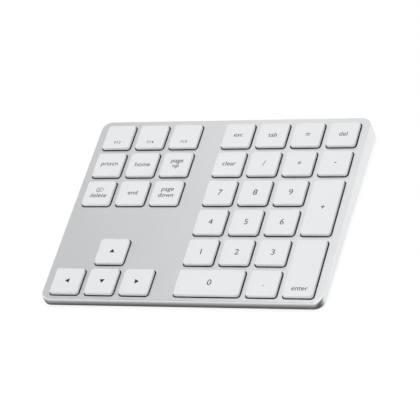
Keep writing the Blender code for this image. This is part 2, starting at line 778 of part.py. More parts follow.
def make_power_switch():
    """The switch's body on the board, and its knob, which slides along the slot in the back wall."""
    width, depth, height = SWITCH_SIZE
    back = PCB_BOX[3] + 0.2
    bm = bmesh.new()
    box = (SWITCH_X - width / 2, SWITCH_X + width / 2, back - depth, back)
    add_box(bm, *box, PORT_HEIGHT, PORT_HEIGHT + height)
    black = principled("switch_body_plastic", (0.03, 0.03, 0.03), 0.45)
    body = make_object("power_switch_body", bm, black)
    knob_width, knob_depth, knob_height = KNOB_SIZE
    room = (SWITCH_TRAVEL + knob_width) / 2 + KNOB_GAP
    slot = bmesh.new()
    add_box(
        slot,
        SWITCH_X - room,
        SWITCH_X + room,
        back - 1.5,
        back + 1.0,
        SWITCH_MIDDLE - knob_height / 2 - KNOB_GAP,
        SWITCH_MIDDLE + knob_height / 2 + KNOB_GAP,
    )
    combine(body, make_helper("switch_slot", slot), "DIFFERENCE")
    knob_x = SWITCH_X - SWITCH_TRAVEL / 2
    outer = wall_y(CASE_DEPTH / 2, SWITCH_MIDDLE) - 0.15
    bm = bmesh.new()
    outline = rounded_outline(knob_width, knob_height, 0.35, 2)
    loft(bm, [[Vector((u, y, v)) for u, v in outline] for y in (0.0, -knob_depth)])
    white = principled("switch_knob_plastic", (0.75, 0.75, 0.76), 0.45)
    knob = make_object("power_switch_slider", bm, white)
    knob.location = (knob_x * MM, outer * MM, SWITCH_MIDDLE * MM)


def make_deck_frame():
    """The empty that holds everything square to the deck: at the deck's middle, tilted up to the back."""
    deck = bpy.data.objects.new("deck_frame", None)
    bpy.context.scene.collection.objects.link(deck)
    deck.location = (0.0, DECK_CENTRE_Y * MM, DECK_CENTRE_Z * MM)
    deck.rotation_euler.x = DECK_TILT
    return deck


def main():
    clear_scene()
    deck = make_deck_frame()
    make_top_case(deck)
    make_bottom_cover(deck)
    make_keycaps(deck)
    make_stabilisers(deck)
    make_backplate(deck)
    make_membrane(deck)
    make_dome_sheet(deck)
    make_screws(deck)
    make_feet()
    make_board()
    make_wireless_module()
    make_battery()
    make_battery_lead()
    make_flex_cable()
    make_usb_port()
    make_power_switch()


main()
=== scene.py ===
"""Looks of the wireless numeric keypad: fine meshes, materials, legends, light and camera.

Lengths are in millimetres unless a name says otherwise. Most pieces are modelled in the deck frame: X to the
typist's right, Y along the deck to the back, Z square to the deck, from the middle of the deck's surface.
"""

import json
import math

import bmesh
import bpy
from mathutils import Matrix, Vector


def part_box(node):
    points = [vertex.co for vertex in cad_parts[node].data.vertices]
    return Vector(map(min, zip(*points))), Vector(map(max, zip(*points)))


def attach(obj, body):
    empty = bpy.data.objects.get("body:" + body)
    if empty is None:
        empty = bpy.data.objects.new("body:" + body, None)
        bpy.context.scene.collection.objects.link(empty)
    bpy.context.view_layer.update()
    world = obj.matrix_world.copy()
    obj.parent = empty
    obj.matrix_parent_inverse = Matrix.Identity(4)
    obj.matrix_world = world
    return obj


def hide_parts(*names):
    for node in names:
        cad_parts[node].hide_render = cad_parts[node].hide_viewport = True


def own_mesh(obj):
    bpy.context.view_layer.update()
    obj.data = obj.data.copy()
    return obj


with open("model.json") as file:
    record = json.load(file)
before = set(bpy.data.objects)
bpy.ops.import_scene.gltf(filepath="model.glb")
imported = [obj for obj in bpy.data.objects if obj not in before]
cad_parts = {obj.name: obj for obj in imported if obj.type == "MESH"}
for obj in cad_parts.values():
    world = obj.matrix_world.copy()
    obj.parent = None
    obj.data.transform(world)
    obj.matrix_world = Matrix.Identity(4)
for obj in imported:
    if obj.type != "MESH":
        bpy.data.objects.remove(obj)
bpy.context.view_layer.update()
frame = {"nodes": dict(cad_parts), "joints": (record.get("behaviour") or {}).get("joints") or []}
MM = 0.001
NODES = frame["nodes"]
BASE = "base"

# ---------------------------------------------------------------- where things are, read from the frame


def corners(points):
    low = Vector([min(p[i] for p in points) for i in range(3)])
    high = Vector([max(p[i] for p in points) for i in range(3)])
    return low, high


def find_deck():
    """The deck frame's matrix, in metres, from the keys' direction of travel and the case's extents."""
    press = next(j for j in frame["joints"] if j["name"].startswith("key_"))
    normal = -Vector(press["axis"]).normalized()
    across = Vector((1, 0, 0))
    turn = Matrix((across, normal.cross(across), normal)).transposed()
    local = [turn.transposed() @ v.co for v in NODES["top_case"].data.vertices]
    low, high = corners(local)
    middle = turn @ Vector(((low.x + high.x) / 2, (low.y + high.y) / 2, high.z))
    return Matrix.Translation(middle) @ turn.to_4x4()


DECK = find_deck()
TO_DECK = DECK.inverted()
DESK = Matrix.Identity(4)


def centre_of(low, high):
    return (low.x + high.x) / 2, (low.y + high.y) / 2


def deck_box(node):
    """A node's lowest and highest corner in the deck frame, in millimetres."""
    low, high = corners([TO_DECK @ v.co for v in NODES[node].data.vertices])
    return low / MM, high / MM


def desk_box(node):
    """A node's lowest and highest corner in the row frame, in millimetres."""
    low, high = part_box(node)
    return low / MM, high / MM


def deck_height(y, level):
    """The deck-frame z of the point at deck-frame y that lies `level` above the desk."""
    slope = DECK[2][1]
    return (level - DECK.translation.z / MM - y * slope) / DECK[2][2]


CASE_LOW, CASE_HIGH = deck_box("top_case")
CASE_WIDTH = CASE_HIGH.x - CASE_LOW.x
CASE_DEPTH = CASE_HIGH.y - CASE_LOW.y
CASE_BOTTOM = desk_box("top_case")[0].z
CAP_TOP = deck_box("keycap_esc")[1].z
KEY_NAMES = [n.removeprefix("keycap_") for n in NODES if n.startswith("keycap_")]

# ---------------------------------------------------------------- driving sizes

CASE_CORNER = 5.0
CASE_CORNER_STEPS = 14
CASE_WALL = 1.5
DECK_THICKNESS = 1.2
TOP_ROUND = 0.35  # the deck's edge at the sides and the back
FRONT_INSET = 1.1  # the front edge rolls over by this much across ...
FRONT_DROP = 3.3  # ... and this much down
BOTTOM_TUCK = 0.12
BOTTOM_RISE = 0.3
COVER_THICKNESS = 0.8

HOLE_GAP = 0.6
HOLE_CORNER = 2.0
HOLE_EDGE = 0.16

CAP_CORNER = 1.5
CAP_ROUND = 0.38
CAP_WALL = 1.0
CAP_CEILING = CAP_TOP - 0.9
CAP_SKIRT = 0.14

SHEET_TOP = -2.6

# ---------------------------------------------------------------- mesh tools

SMOOTH_DEGREES = 35


def object_from(name, bm, place=DECK):
    """An object in metres from bm, which is in millimetres. `place` is the frame that bm was made in."""
    bmesh.ops.recalc_face_normals(bm, faces=bm.faces)
    bmesh.ops.scale(bm, verts=bm.verts, vec=(MM, MM, MM))
    mesh = bpy.data.meshes.new(name)
    bm.to_mesh(mesh)
    bm.free()
    mesh.transform(place)
    obj = bpy.data.objects.new(name, mesh)
    bpy.context.scene.collection.objects.link(obj)
    return obj


def shade(piece, smooth_degrees):
    """Smooth shading, with edges sharper than an angle kept sharp."""
    piece.data.shade_smooth()
    piece.data.set_sharp_from_angle(angle=math.radians(smooth_degrees))


def flat_faces_stay_flat(piece):
    """Weighs the normals by face area, so that a fillet doesn't shade the flat face beside it."""
    modifier = piece.modifiers.new("normals", "WEIGHTED_NORMAL")
    modifier.keep_sharp = True
    modifier.weight = 100


def new_piece(name, bm, material, body, place=DECK):
    """Makes bm a visible piece that rides on a body."""
    piece = object_from(name, bm, place)
    shade(piece, SMOOTH_DEGREES)
    piece.data.materials.append(material)
    flat_faces_stay_flat(piece)
    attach(piece, body)
    return piece


def combine(piece, *steps, smooth_degrees=SMOOTH_DEGREES):
    """Applies Boolean steps, (operation, object), to a piece and removes those objects."""
    piece.modifiers.clear()
    for operation, other in steps:
        modifier = piece.modifiers.new("cut", "BOOLEAN")
        modifier.operation = operation
        modifier.solver = "EXACT"
        modifier.object = other
    bpy.context.view_layer.update()
    graph = bpy.context.evaluated_depsgraph_get()
    piece.data = bpy.data.meshes.new_from_object(piece.evaluated_get(graph))
    piece.modifiers.clear()
    shade(piece, smooth_degrees)
    for _, other in steps:
        bpy.data.objects.remove(other, do_unlink=True)
    flat_faces_stay_flat(piece)


def quarter_turn(steps):
    """The cosine and sine at each step of a turn from 0 to 90 degrees."""
    angles = [math.radians(90) * step / steps for step in range(steps + 1)]
    return [(math.cos(angle), math.sin(angle)) for angle in angles]


def rounded_outline(width, depth, radius, segments, centre=(0.0, 0.0)):
    """The points of a rectangle with round corners, counter-clockwise from above."""
    points = []
    for quarter, (sx, sy) in enumerate(((1, 1), (-1, 1), (-1, -1), (1, -1))):
        for step in range(segments + 1):
            angle = math.radians(90) * (quarter + step / segments)
            x = centre[0] + sx * (width / 2 - radius) + radius * math.cos(angle)
            y = centre[1] + sy * (depth / 2 - radius) + radius * math.sin(angle)
            points.append((x, y))
    return points


def circle_outline(radius, sides, centre=(0.0, 0.0)):
    angles = [2 * math.pi * i / sides for i in range(sides)]
    return [(centre[0] + radius * math.cos(a), centre[1] + radius * math.sin(a)) for a in angles]


def level_ring(outline, z):
    """An outline as points of the deck frame, at one height over the deck."""
    return [Vector((x, y, z)) for x, y in outline]


def desk_ring(outline, level):
    """An outline as points of the deck frame, at one height over the desk."""
    return [Vector((x, y, deck_height(y, level))) for x, y in outline]


def skin(bm, rows, closed=False):
    """Faces between rows of equally many points, each a loop. `closed` joins the last row to the first."""
    made = [[bm.verts.new(p) for p in row] for row in rows]
    count = len(made[0])
    pairs = list(zip(made, made[1:]))
    if closed:
        pairs.append((made[-1], made[0]))
    for lower, upper in pairs:
        for i in range(count):
            j = (i + 1) % count
            bm.faces.new((lower[i], lower[j], upper[j], upper[i]))
    return made


def loft(bm, rings):
    made = skin(bm, rings)
    bm.faces.new(list(reversed(made[0])))
    bm.faces.new(made[-1])


def add_prism(bm, outline, bottom, top):
    loft(bm, [level_ring(outline, bottom), level_ring(outline, top)])


def add_turned(bm, profile, sides, centre=(0.0, 0.0)):
    loft(bm, [level_ring(circle_outline(r, sides, centre), z) for r, z in profile])


def add_box(bm, low, high):
    outline = [(low[0], low[1]), (high[0], low[1]), (high[0], high[1]), (low[0], high[1])]
    add_prism(bm, outline, low[2], high[2])


def soft_block(bm, low, high, radius, edge):
    """A block with round upright corners and a rounded edge round its top and bottom."""
    width, depth = high[0] - low[0], high[1] - low[1]
    centre = ((low[0] + high[0]) / 2, (low[1] + high[1]) / 2)
    rings = []
    for start, sign in ((low[2], 1), (high[2], -1)):
        part = []
        for cosine, sine in quarter_turn(4):
            inset = edge * (1 - sine)
            z = start + sign * edge * (1 - cosine)
            outline = rounded_outline(width - 2 * inset, depth - 2 * inset, radius - inset, 6, centre)
            part.append(level_ring(outline, z))
        rings += part if sign > 0 else part[::-1]
    loft(bm, rings)


# ---------------------------------------------------------------- materials


class Material:
    """A Principled material with short ways to add procedural detail in object space."""

    def __init__(self, name, colour, roughness, metallic=0.0, specular=0.5):
        self.material = bpy.data.materials.new(name)
        self.material.use_nodes = True
        self.tree = self.material.node_tree
        self.shader = self.tree.nodes["Principled BSDF"]
        self.colour = colour
        self.roughness = roughness
        self.shader.inputs["Base Color"].default_value = (*colour, 1)
        self.shader.inputs["Roughness"].default_value = roughness
        self.shader.inputs["Metallic"].default_value = metallic
        self.shader.inputs["Specular IOR Level"].default_value = specular
        self.coordinates = self.tree.nodes.new("ShaderNodeTexCoord").outputs["Object"]

    def noise(self, scale, detail=2.0, stretch=None):
        """A noise value. `stretch` scales the coordinates, for a grain that runs one way."""
        source = self.coordinates
        if stretch:
            mapping = self.tree.nodes.new("ShaderNodeMapping")
            mapping.inputs["Scale"].default_value = stretch
            self.tree.links.new(source, mapping.inputs["Vector"])
            source = mapping.outputs["Vector"]
        node = self.tree.nodes.new("ShaderNodeTexNoise")
        node.inputs["Scale"].default_value = scale
        node.inputs["Detail"].default_value = detail
        self.tree.links.new(source, node.inputs["Vector"])
        return node.outputs["Fac"]

    def spread(self, value, low, high):
        """Maps a noise value's middle range onto low..high."""
        node = self.tree.nodes.new("ShaderNodeMapRange")
        node.inputs["From Min"].default_value = 0.3
        node.inputs["From Max"].default_value = 0.7
        node.inputs["To Min"].default_value = low
        node.inputs["To Max"].default_value = high
        self.tree.links.new(value, node.inputs["Value"])
        return node.outputs["Result"]

    def vary_roughness(self, value, amount):
        result = self.spread(value, self.roughness - amount, self.roughness + amount)
        self.tree.links.new(result, self.shader.inputs["Roughness"])

    def vary_colour(self, value, amount):
        """Mixes a darker and a lighter copy of the colour by a noise value."""
        mix = self.tree.nodes.new("ShaderNodeMix")
        mix.data_type = "RGBA"
        mix.inputs["A"].default_value = (*[c * (1 - amount) for c in self.colour], 1)
        mix.inputs["B"].default_value = (*[min(1.0, c * (1 + amount)) for c in self.colour], 1)
        self.tree.links.new(self.spread(value, 0.0, 1.0), mix.inputs["Factor"])
        self.tree.links.new(mix.outputs["Result"], self.shader.inputs["Base Color"])

    def bump(self, value, distance_mm, strength):
        node = self.tree.nodes.new("ShaderNodeBump")
        node.inputs["Distance"].default_value = distance_mm * MM
        node.inputs["Strength"].default_value = strength
        self.tree.links.new(value, node.inputs["Height"])
        self.tree.links.new(node.outputs["Normal"], self.shader.inputs["Normal"])


def blasted_aluminium():
    """Bead-blasted and anodised: a fine, even grain with slow cloudiness in the finish."""
    m = Material("blasted_aluminium", (0.768, 0.784, 0.795), 0.43, 1.0)
    grain = m.noise(5200, 2.0)
    cloud = m.noise(45, 3.0)
    m.vary_colour(cloud, 0.012)
    m.vary_roughness(m.noise(900, 2.0), 0.035)
    m.bump(grain, 0.006, 0.5)
    return m.material


def key_plastic():
    """Matte white plastic with a very fine moulded texture."""
    m = Material("key_plastic", (0.791, 0.803, 0.818), 0.50, 0.0, 0.4)
    m.vary_colour(m.noise(60, 3.0), 0.006)
    m.vary_roughness(m.noise(300, 2.0), 0.05)
    m.bump(m.noise(9000, 1.0), 0.003, 0.35)
    return m.material


def moulded_plastic(name, colour, roughness, grain=3500):
    m = Material(name, colour, roughness)
    m.vary_colour(m.noise(80, 3.0), 0.03)
    m.vary_roughness(m.noise(400, 2.0), 0.05)
    m.bump(m.noise(grain, 2.0), 0.01, 0.6)
    return m.material


def brushed_metal(name, colour, roughness, along="x"):
    stretch = (0.04, 1.0, 1.0) if along == "x" else (1.0, 0.04, 1.0)
    m = Material(name, colour, roughness, 1.0)
    lines = m.noise(4000, 2.0, stretch)
    m.vary_colour(m.noise(120, 3.0), 0.05)
    m.vary_roughness(lines, 0.08)
    m.bump(lines, 0.004, 0.4)
    return m.material


def rubber(name, colour, roughness=0.75):
    m = Material(name, colour, roughness, 0.0, 0.3)
    m.vary_colour(m.noise(150, 3.0), 0.10)
    m.vary_roughness(m.noise(700, 2.0), 0.08)
    m.bump(m.noise(2200, 3.0), 0.015, 0.6)
    return m.material


def ink(name, colour):
    m = Material(name, colour, 0.55, 0.0, 0.3)
    m.vary_colour(m.noise(2500, 1.0), 0.05)
    m.vary_roughness(m.noise(1500, 1.0), 0.05)
    return m.material


ALUMINIUM = blasted_aluminium()
CAP_PLASTIC = key_plastic()
LEGEND_INK = ink("legend_ink", (0.020, 0.020, 0.022))
COVER_PLASTIC = moulded_plastic("cover_plastic", (0.60, 0.605, 0.61), 0.52)
FOOT_RUBBER = rubber("foot_rubber", (0.055, 0.055, 0.058))
DOME_RUBBER = rubber("dome_rubber", (0.06, 0.06, 0.062), 0.6)
PLATE_STEEL = brushed_metal("plate_steel", (0.42, 0.43, 0.44), 0.40)
SPRING_STEEL = brushed_metal("spring_steel", (0.52, 0.52, 0.54), 0.28)
SCREW_STEEL = brushed_metal("screw_steel", (0.46, 0.46, 0.48), 0.32)
PORT_STEEL = brushed_metal("port_shell", (0.62, 0.62, 0.63), 0.24)
LINK_PLASTIC = moulded_plastic("link_plastic", (0.045, 0.045, 0.047), 0.45)

# ---------------------------------------------------------------- the case


BOSS_TOP = -0.6  # inside the deck's thickness, so that the bosses join it
COVER_BOSS_RADIUS = 1.45
PLATE_BOSS_RADIUS = 2.2
PLATE_BOSS_BOTTOM = -3.05
BORE_RADIUS = 0.75
BORE_DEPTH = 4.0
KNOB_TRAVEL = 2.0
OPENING_GAP = 0.3
PORT_CORNER = 1.75
KNOB_CORNER = 0.5
# An opening's section through the back wall: distance past the wall's face, growth of the outline.
OPENING_FLARE = ((3.0, 0.5), (0.28, 0.22), (0.05, 0.0), (-4.0, 0.0))


def case_outline(inset):
    width, depth = CASE_WIDTH - 2 * inset, CASE_DEPTH - 2 * inset
    return rounded_outline(width, depth, CASE_CORNER - inset, CASE_CORNER_STEPS)


def front_shares():
    """For each point of the outline: 0 at the sides and back, 1 along the front, blended in its corners."""
    shares = []
    for quarter in range(4):
        for step in range(CASE_CORNER_STEPS + 1):
            angle = math.radians(90) * (quarter + step / CASE_CORNER_STEPS)
            shares.append(max(0.0, -math.sin(angle)) ** 2)
    return shares


def case_rings():
    """From the bottom rim, drawn in below the sides, up to the deck's rounded edge."""
    rings = []
    for cosine, sine in reversed(quarter_turn(10)):
        inset = BOTTOM_TUCK * (1 - cosine)
        rise = BOTTOM_RISE * (1 - sine)
        rings.append(desk_ring(case_outline(inset), CASE_BOTTOM + rise))
    shares = front_shares()
    for cosine, sine in quarter_turn(9):
        sides = level_ring(case_outline(TOP_ROUND * (1 - cosine)), -TOP_ROUND * (1 - sine))
        front = level_ring(case_outline(FRONT_INSET * (1 - cosine)), -FRONT_DROP * (1 - sine))
        rings.append([a.lerp(b, share) for a, b, share in zip(sides, front, shares)])
    return rings


def screw_places(kind):
    """For each screw of a kind: its node's name, its axis x and y, its lowest and its highest z."""
    places = []
    for node in sorted(n for n in NODES if n.startswith(kind)):
        low, high = deck_box(node)
        places.append((node, *centre_of(low, high), low.z, high.z))
    return places


def case_bosses():
    bm = bmesh.new()
    for _, x, y, _, _ in screw_places("cover_screw"):
        outline = circle_outline(COVER_BOSS_RADIUS, 20, (x, y))
        foot = CASE_BOTTOM + COVER_THICKNESS + 0.05
        loft(bm, [desk_ring(outline, foot), level_ring(outline, BOSS_TOP)])
    for _, x, y, _, _ in screw_places("plate_screw"):
        add_prism(bm, circle_outline(PLATE_BOSS_RADIUS, 24, (x, y)), PLATE_BOSS_BOTTOM, BOSS_TOP)
    return object_from("bosses", bm)


def hole_rings(name):
    """One key's hole from the deck's surface down, with a small rounding round its top."""
    low, high = deck_box("keycap_" + name)
    profile = [(HOLE_EDGE * (1 - sine), -HOLE_EDGE * (1 - cosine)) for cosine, sine in quarter_turn(4)]
    profile.append((0.0, -DECK_THICKNESS))
    rings = []
    for grow, z in profile:
        width = high.x - low.x + 2 * (HOLE_GAP + grow)
        depth = high.y - low.y + 2 * (HOLE_GAP + grow)
        outline = rounded_outline(width, depth, HOLE_CORNER + grow, 8, centre_of(low, high))
        rings.append(level_ring(outline, z))
    return rings


def pairs_of(ring):
    return list(zip(ring, ring[1:] + ring[:1]))


def fill_between(bm, rings):
    """Fills the flat area inside the first ring and outside the others."""
    edges = [bm.edges.get(pair) for ring in rings for pair in pairs_of(ring)]
    bmesh.ops.triangle_fill(bm, edges=edges, use_beauty=True, normal=(0, 0, 1))


def back_openings():
    """The level openings in the back wall, for the USB-C socket and the switch's knob."""
    bm = bmesh.new()
    openings = (("usb_c_port", PORT_CORNER, 0.0), ("power_switch_slider", KNOB_CORNER, KNOB_TRAVEL))
    for node, radius, travel in openings:
        low, high = desk_box(node)
        width = high.x - low.x + travel + 2 * OPENING_GAP
        height = high.z - low.z + 2 * OPENING_GAP
        x = (low.x + high.x + travel) / 2
        z = (low.z + high.z) / 2
        rings = []
        for past_wall, grow in OPENING_FLARE:
            outline = rounded_outline(width + 2 * grow, height + 2 * grow, radius + grow, 8)
            rings.append([Vector((x + u, high.y + past_wall, z + v)) for u, v in outline])
        loft(bm, rings)
    return object_from("back_openings", bm, DESK)


def screw_bores():
    bm = bmesh.new()
    for _, x, y, _, high in screw_places("cover_screw") + screw_places("plate_screw"):
        add_prism(bm, circle_outline(BORE_RADIUS, 16, (x, y)), high - BORE_DEPTH, high + 0.2)
    return object_from("screw_bores", bm)


def make_case():
    """The shell: outside, holes and cavity are lofted, and the flat faces between them filled."""
    bm = bmesh.new()
    outside = skin(bm, case_rings())
    cavity = case_outline(CASE_WALL)
    inside = skin(bm, [desk_ring(cavity, CASE_BOTTOM), level_ring(cavity, -DECK_THICKNESS)])
    holes = [skin(bm, hole_rings(name)) for name in KEY_NAMES]
    fill_between(bm, [outside[-1]] + [hole[0] for hole in holes])
    fill_between(bm, [inside[-1]] + [hole[-1] for hole in holes])
    for (a, b), (c, d) in zip(pairs_of(outside[0]), pairs_of(inside[0])):
        bm.faces.new((a, b, d, c))
    case = new_piece("top_case_shell", bm, ALUMINIUM, BASE)
    combine(
        case,
        ("UNION", case_bosses()),
        ("DIFFERENCE", screw_bores()),
        ("DIFFERENCE", back_openings()),
        smooth_degrees=28,
    )
    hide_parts("top_case")


# ---------------------------------------------------------------- keys


def make_cap(name):
    """A shallow cap with a rounded top edge, hollow below."""
    low, high = deck_box("keycap_" + name)
    width, depth = high.x - low.x, high.y - low.y

    def ring(inset, z):
        radius = CAP_CORNER - inset
        outline = rounded_outline(width - 2 * inset, depth - 2 * inset, radius, 9, centre_of(low, high))
        return level_ring(outline, z)

    rings = [ring(CAP_WALL, CAP_CEILING), ring(CAP_WALL, CAP_SKIRT), ring(0.0, CAP_SKIRT)]
    for cosine, sine in quarter_turn(6):
        rings.append(ring(CAP_ROUND * (1 - cosine), high.z - CAP_ROUND * (1 - sine)))
    bm = bmesh.new()
    loft(bm, rings)
    cap = new_piece("cap_" + name, bm, CAP_PLASTIC, "key_" + name)
    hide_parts("keycap_" + name)


# font size, and how much bolder than the font its strokes are, as a share of the size
WORD = (3.85, 0.003)
SMALL = (2.55, 0.003)
SIGN = (4.8, 0.003)
NUMBER = (4.95, 0.0)
LEGENDS = {
    # key: lines of (text, font, distance behind the middle of the cap)
    "f13": [("F13", SMALL, -3.8)],
    "f14": [("F14", SMALL, -3.8)],
    "f15": [("F15", SMALL, -3.8)],
    "prtscn": [("prtscn", WORD, 0.0)],
    "home": [("home", WORD, 0.0)],
    "page_up": [("page", WORD, 1.5), ("up", WORD, -1.75)],
    "delete": [("delete", WORD, -1.7)],
    "end": [("end", WORD, 0.0)],
    "page_down": [("page", WORD, 1.5), ("down", WORD, -1.65)],
    "esc": [("esc", WORD, 0.0)],
    "tab": [("tab", WORD, 0.0)],
    "equals": [("=", SIGN, 0.0)],
    "del": [("del", WORD, 0.0)],
    "clear": [("clear", WORD, 0.0)],
    "divide": [("/", SIGN, 0.0)],
    "multiply": [("*", SIGN, 0.0)],
    "minus": [("-", SIGN, 0.0)],
    "plus": [("+", SIGN, 0.0)],
    "enter": [("enter", WORD, -12.6)],
    "decimal": [(".", SIGN, -1.5)],
    **{digit: [(digit, NUMBER, 0.0)] for digit in "0123456789"},
}
ARROWS = {"up": 0, "left": 1, "down": 2, "right": 3}  # key: quarter turns of the arrowhead
ARROWHEAD = [(-1.4, -1.0), (1.4, -1.0), (0.0, 1.3)]
DELETE_ICON_DY = 1.95
ICON_STROKE = 0.3
CROSS_STROKE = 0.26
LEGEND_THICKNESS = 0.012
LEGEND_CLEARANCE = 0.002
LEGEND_SHIFT = (0.3, -0.1)


def text_mesh(text, font):
    """A flat text in Blender's own font, as a mesh in millimetres."""
    size, bolder = font
    curve = bpy.data.curves.new("legend", "FONT")
    curve.body = text
    curve.size = size
    curve.offset = size * bolder
    curve.extrude = LEGEND_THICKNESS / 2
    curve.resolution_u = 6
    obj = bpy.data.objects.new("legend", curve)
    bpy.context.scene.collection.objects.link(obj)
    bpy.context.view_layer.update()
    graph = bpy.context.evaluated_depsgraph_get()
    mesh = bpy.data.meshes.new_from_object(obj.evaluated_get(graph))
    bpy.data.objects.remove(obj, do_unlink=True)
    return mesh


def add_text(bm, text, font, middle):
    """Adds a text whose own box has its centre at a point."""
    mesh = text_mesh(text, font)
    fresh = bmesh.new()
    fresh.from_mesh(mesh)
    bmesh.ops.remove_doubles(fresh, verts=fresh.verts, dist=0.0005)
    low, high = corners([v.co for v in fresh.verts])
    bmesh.ops.translate(fresh, verts=fresh.verts, vec=middle - (low + high) / 2)
    fresh.to_mesh(mesh)
    fresh.free()
    bm.from_mesh(mesh)
    bpy.data.meshes.remove(mesh)


def arrow_outline(turn):
    """A small filled arrowhead that points up, turned by quarter turns."""
    angle = math.radians(90) * turn
    c, s = math.cos(angle), math.sin(angle)
    return [(x * c - y * s, x * s + y * c) for x, y in ARROWHEAD]


def add_line(bm, start, end, width, z, height):
    """A flat stroke from one point to another."""
    a, b = Vector(start), Vector(end)
    along = (b - a).normalized() * width / 2
    side = Vector((-along.y, along.x))
    outline = [a - along - side, b + along - side, b + along + side, a - along + side]
    add_prism(bm, [tuple(p) for p in outline], z - height / 2, z + height / 2)


def tag_outline(inset):
    """A tag that points right, with round corners on its left."""
    width, height, radius = 2.05 - inset, 1.25 - inset, 0.45 - inset / 2
    points = []
    for sy, start in ((1, 90), (-1, 180)):
        for step in range(5):
            angle = math.radians(start + 22.5 * step)
            x = -width + radius + radius * math.cos(angle)
            points.append((x, sy * (height - radius) + radius * math.sin(angle)))
    return points + [(width * 0.42, -height), (width + 0.35, 0.0), (width * 0.42, height)]


def add_delete_icon(bm, x, y, z):
    """The outlined tag with a small cross that marks forward delete."""
    half = LEGEND_THICKNESS / 2
    rows = []
    for inset, level in ((0, z - half), (0, z + half), (ICON_STROKE, z + half), (ICON_STROKE, z - half)):
        rows.append([Vector((x + u, y + v, level)) for u, v in tag_outline(inset)])
    skin(bm, rows, closed=True)
    for sign in (-1, 1):
        start, end = (x - 0.75, y - 0.4 * sign), (x + 0.05, y + 0.4 * sign)
        add_line(bm, start, end, CROSS_STROKE, z, LEGEND_THICKNESS)


def make_legend(name):
    low, high = deck_box("keycap_" + name)
    x, y = (middle + shift for middle, shift in zip(centre_of(low, high), LEGEND_SHIFT))
    z = high.z + LEGEND_THICKNESS / 2 + LEGEND_CLEARANCE
    bm = bmesh.new()
    for text, font, dy in LEGENDS.get(name, []):
        add_text(bm, text, font, Vector((x, y + dy, z)))
    if name in ARROWS:
        outline = [(x + u, y + v) for u, v in arrow_outline(ARROWS[name])]
        add_prism(bm, outline, z - LEGEND_THICKNESS / 2, z + LEGEND_THICKNESS / 2)
    if name == "delete":
        add_delete_icon(bm, x, y + DELETE_ICON_DY, z)
    new_piece("legend_" + name, bm, LEGEND_INK, "key_" + name)


def make_keys():
    for name in KEY_NAMES:
        make_cap(name)
        make_legend(name)


# ---------------------------------------------------------------- under the keys


LINKS = {
    # name: width, depth, tilt in degrees
    "outer": (13.0, 10.0, 16.0),
    "inner": (10.6, 9.6, -16.0),
}
LINK_BAR = 1.0
LINK_THICKNESS = 0.55
LINK_CORNER = 1.2

# A dome's section from the top of its hollow out and down to the sheet, then up its outside: radius, z.
DOME_INSIDE = [(0.9, -0.75), (1.9, -1.0), (2.35, -1.8), (2.7, SHEET_TOP + 0.03)]
DOME_FLANGE = [(3.9, SHEET_TOP + 0.03), (3.9, SHEET_TOP + 0.2), (3.2, SHEET_TOP + 0.28)]
DOME_TOP = CAP_CEILING - 0.05
DOME_OUTSIDE = [(2.9, -1.6), (2.45, -0.6), (1.6, -0.25), (1.4, 0.1)]
DOME_TIP = [(1.4, DOME_TOP - 0.15), (1.25, DOME_TOP)]

FILM_CORNER = 2.0
FILM_HOLE_RADIUS = 2.6


def add_frame(bm, width, depth):
    """A flat rectangular loop with round corners, about its own middle."""
    half = LINK_THICKNESS / 2
    rows = []
    for inset, z in ((0, -half), (0, half), (LINK_BAR, half), (LINK_BAR, -half)):
        radius = max(LINK_CORNER - inset, 0.3)
        rows.append(level_ring(rounded_outline(width - 2 * inset, depth - 2 * inset, radius, 3), z))
    skin(bm, rows, closed=True)


def squash_to_key(piece):
    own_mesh(piece)


def make_scissor(name, x, y):
    """The two crossed links that keep a cap level."""
    middle = Vector((x, y, (SHEET_TOP + CAP_CEILING) / 2)) * MM
    for link, (width, depth, tilt) in LINKS.items():
        bm = bmesh.new()
        add_frame(bm, width, depth)
        place = DECK @ Matrix.Translation(middle) @ Matrix.Rotation(math.radians(tilt), 4, "X")
        piece = new_piece(f"scissor_{link}_{name}", bm, LINK_PLASTIC, BASE, place)
        squash_to_key(piece)


def make_dome(name, x, y):
    """A hollow rubber dome with a flange, open below."""
    bm = bmesh.new()
    add_turned(bm, DOME_INSIDE + DOME_FLANGE + DOME_OUTSIDE + DOME_TIP, 20, (x, y))
    piece = new_piece("dome_" + name, bm, DOME_RUBBER, BASE)
    squash_to_key(piece)


def make_dome_film():
    """The sheet that the domes stand on, with holes for the bosses."""
    low, high = deck_box("rubber_dome_sheet")
    bm = bmesh.new()
    outline = rounded_outline(high.x - low.x, high.y - low.y, FILM_CORNER, 6, centre_of(low, high))
    add_prism(bm, outline, low.z, SHEET_TOP)
    film = new_piece("dome_sheet_film", bm, DOME_RUBBER, BASE)
    holes = bmesh.new()
    for _, x, y, _, _ in screw_places("plate_screw"):
        add_prism(holes, circle_outline(FILM_HOLE_RADIUS, 24, (x, y)), low.z - 1, SHEET_TOP + 1)
    combine(film, ("DIFFERENCE", object_from("film_holes", holes)))
    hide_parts("rubber_dome_sheet")


def make_mechanism():
    make_dome_film()
    for name in KEY_NAMES:
        x, y = centre_of(*deck_box("keycap_" + name))
        make_scissor(name, x, y)
        make_dome(name, x, y)


# ---------------------------------------------------------------- underside and back


FOOT_EDGE = 0.35
FOOT_HOLLOW = (0.70, 0.74)  # radii of the shallow hollow in a foot's sole, as shares of the foot's own

SCREW_HEAD_RADIUS = 1.3
SCREW_HEAD_EDGE = 0.08
THREAD_RADIUS = 0.6
THREAD_CORE = 0.5
THREAD_PITCH = 0.3
RECESS_REACH = 0.75
RECESS_HALF_WIDTH = 0.17


